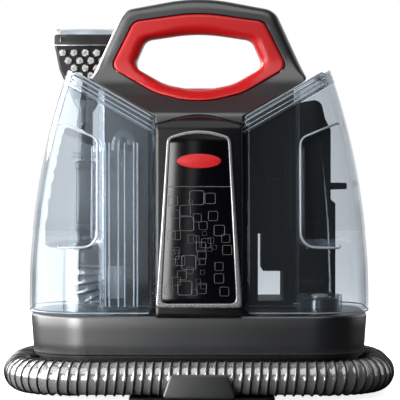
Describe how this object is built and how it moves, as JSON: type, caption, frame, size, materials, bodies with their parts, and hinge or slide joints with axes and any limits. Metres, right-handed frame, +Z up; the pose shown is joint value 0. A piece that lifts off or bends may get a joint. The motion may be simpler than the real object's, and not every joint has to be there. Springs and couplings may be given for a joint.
{
  "type": "spot extractor",
  "caption": "Portable carpet and upholstery spot extractor with lift-off clear tanks, a looped carry handle, a wrapped suction hose and a stored hand tool.",
  "frame": {"origin": "on the floor under the centre of the machine, between the feet", "axes": "+Z up, front of the machine towards -Y, clean water tank towards +X"},
  "size_m": [0.3475, 0.2142, 0.3502],
  "materials": {
    "charcoal_housing": "satin charcoal moulding",
    "black_housing": "fine grained black moulding",
    "red_grip": "glossy red moulding",
    "silver_trim": "silver painted satin",
    "panel_black": "high gloss black with grey printed squares",
    "clear_tank": "clear tank plastic with a blue-grey tint",
    "hose_clear": "smoky clear corrugated hose with a dark helix",
    "rubber": "matt black rubber",
    "steel": "zinc plated steel",
    "white_plastic": "natural white moulding",
    "filter_foam": "open cell foam"
  },
  "bodies": {
    "machine": {"base_housing": "charcoal_housing", "base_plate": "black_housing", "base_screw_1": "steel", "base_screw_2": "steel", "base_screw_3": "steel", "base_screw_4": "steel", "cord_gland": "rubber", "cover_screw_1": "steel", "cover_screw_2": "steel", "cover_screw_3": "steel", "cover_screw_4": "steel", "exhaust_filter": "filter_foam", "exhaust_grille": "black_housing", "fan_housing": "black_housing", "foot_front_left": "rubber", "foot_front_right": "rubber", "foot_rear_left": "rubber", "foot_rear_right": "rubber", "front_cover": "charcoal_housing", "grip_ring": "red_grip", "hose": "hose_clear", "hose_clip": "charcoal_housing", "hose_cuff_machine": "black_housing", "hose_cuff_tool": "hose_clear", "hose_port": "charcoal_housing", "inlet_duct": "black_housing", "lower_cord_hook": "black_housing", "motor_body": "steel", "panel_bezel": "silver_trim", "panel_insert": "panel_black", "pump_body": "charcoal_housing", "rear_cover": "black_housing", "spray_tube": "black_housing", "suction_duct": "black_housing", "supply_grommet": "rubber", "supply_tube": "black_housing", "switch_body": "black_housing", "tool_holder": "charcoal_housing", "upper_housing_front": "charcoal_housing", "upper_housing_rear": "charcoal_housing"},
    "dirty_tank": {"dirty_tank": "clear_tank", "dirty_tank_lid": "clear_tank", "dirty_lid_seal": "rubber", "intake_stack": "clear_tank"},
    "float": {"float_block": "white_plastic"},
    "clean_tank": {"clean_tank": "clear_tank", "clean_tank_lid": "clear_tank", "clean_lid_seal": "rubber"},
    "clean_cap": {"clean_tank_cap": "charcoal_housing"},
    "valve": {"valve_poppet": "white_plastic"},
    "power_switch": {"power_switch": "red_grip"},
    "cord_hook": {"upper_cord_hook": "black_housing"},
    "hand_tool": {"tool_body": "charcoal_housing", "tool_nozzle": "clear_tank", "tool_brush": "black_housing", "spray_tip": "black_housing"},
    "tool_trigger": {"tool_trigger": "black_housing"},
    "fan": {"fan_rotor": "steel"},
    "pump_plunger": {"pump_plunger": "steel"}
  },
  "joints": [
    {"name": "dirty_tank_lift", "type": "slide", "parent": "machine", "child": "dirty_tank", "axis": [-0.866, 0, 0.5], "range_m": [0, 0.12]},
    {"name": "float_rise", "type": "slide", "parent": "dirty_tank", "child": "float", "axis": [0, 0, 1], "range_m": [0, 0.08]},
    {"name": "clean_tank_lift", "type": "slide", "parent": "machine", "child": "clean_tank", "axis": [0.866, 0, 0.5], "range_m": [0, 0.12]},
    {"name": "clean_cap_turn", "type": "hinge", "parent": "clean_tank", "child": "clean_cap", "pos_m": [0.108, -0.014, 0.0728], "axis": [0, 0, 1], "range_deg": [0, 60]},
    {"name": "valve_lift", "type": "slide", "parent": "clean_cap", "child": "valve", "axis": [0, 0, 1], "range_m": [0, 0.003], "stiffness_N_per_m": 300},
    {"name": "switch_rock", "type": "hinge", "parent": "machine", "child": "power_switch", "pos_m": [0, 0, 0.2625], "axis": [1, 0, 0], "range_deg": [-7, 7]},
    {"name": "cord_hook_turn", "type": "hinge", "parent": "machine", "child": "cord_hook", "pos_m": [0.104, 0.095, 0.182], "axis": [0, 1, 0], "range_deg": [-90, 90]},
    {"name": "hand_tool_lift", "type": "slide", "parent": "machine", "child": "hand_tool", "axis": [0, 0, 1], "range_m": [0, 0.09]},
    {"name": "trigger_press", "type": "hinge", "parent": "hand_tool", "child": "tool_trigger", "pos_m": [-0.107, 0.1018, 0.1865], "axis": [-1, 0, 0], "range_deg": [0, 6], "stiffness_Nm_per_rad": 0.3},
    {"name": "fan_spin", "type": "hinge", "parent": "machine", "child": "fan", "pos_m": [0, 0.031, 0.09], "axis": [0, 0, 1], "continuous": true},
    {"name": "pump_stroke", "type": "slide", "parent": "machine", "child": "pump_plunger", "axis": [1, 0, 0], "range_m": [0, 0.006], "stiffness_N_per_m": 150}
  ]
}
